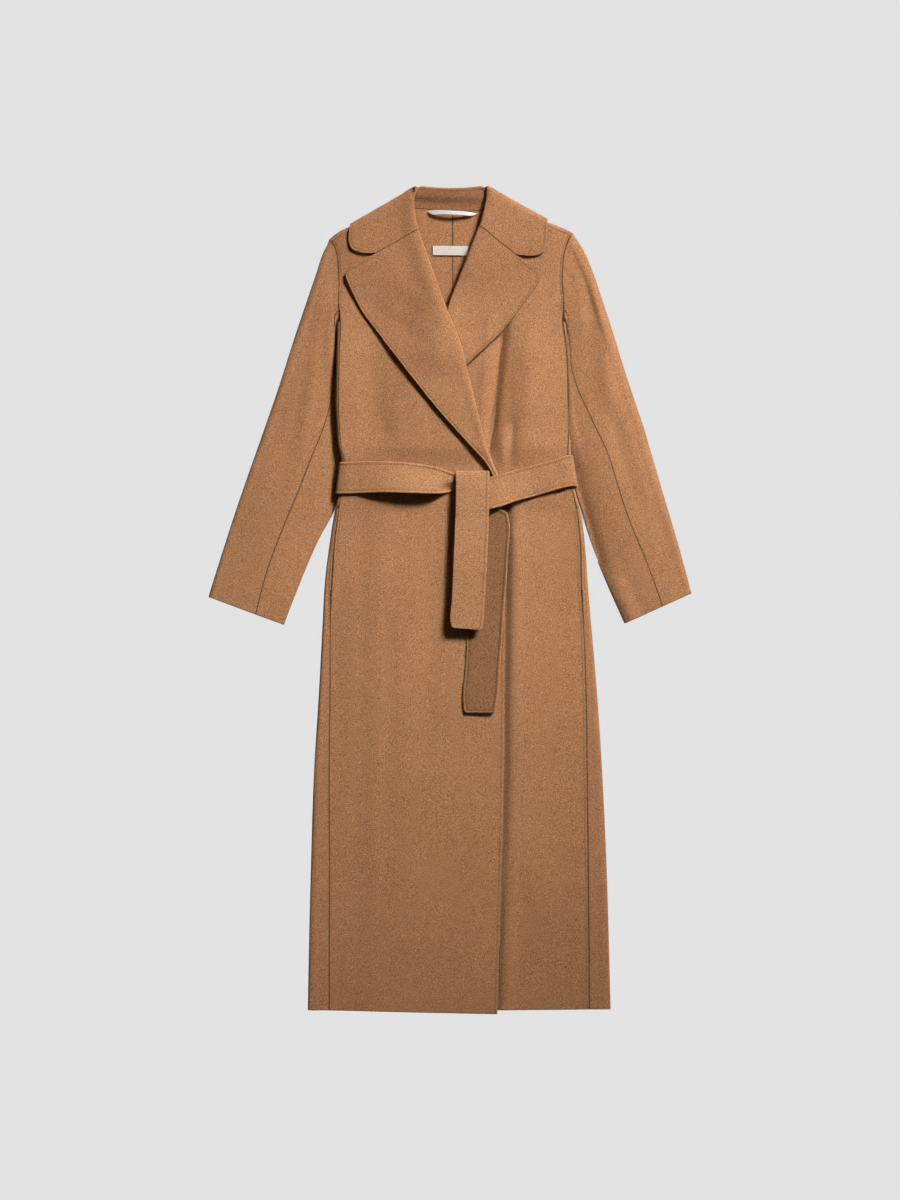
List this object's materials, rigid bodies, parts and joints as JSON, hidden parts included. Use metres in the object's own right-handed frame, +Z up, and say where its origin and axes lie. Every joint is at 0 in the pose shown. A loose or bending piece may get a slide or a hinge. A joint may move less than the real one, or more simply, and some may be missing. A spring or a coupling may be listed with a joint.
{
  "type": "wrap coat",
  "caption": "Long wool wrap coat laid flat on its back, with notched lapels, plain sleeves and a tied belt whose ends hang down the front.",
  "frame": {"origin": "centre of the box round the coat, on the plane that it lies on", "axes": "+X towards the wearer's left, +Y from hem to collar, +Z up out of the front"},
  "size_m": [0.7482, 1.2808, 0.0268],
  "materials": {
    "camel": "soft brushed wool",
    "white": "woven tape",
    "cream": "woven label cloth",
    "lining": "thin pocket cloth"
  },
  "bodies": {
    "root": {"back_right": "camel", "back_left": "camel", "front_right": "camel", "front_left": "camel", "collar": "camel", "upper_sleeve_right": "camel", "under_sleeve_right": "camel", "upper_sleeve_left": "camel", "under_sleeve_left": "camel", "belt_band": "camel", "belt_over_end": "camel", "belt_under_end": "camel", "hanger_loop": "white", "neck_label": "cream", "pocket_patch_right": "lining", "pocket_patch_left": "lining"}
  },
  "joints": []
}
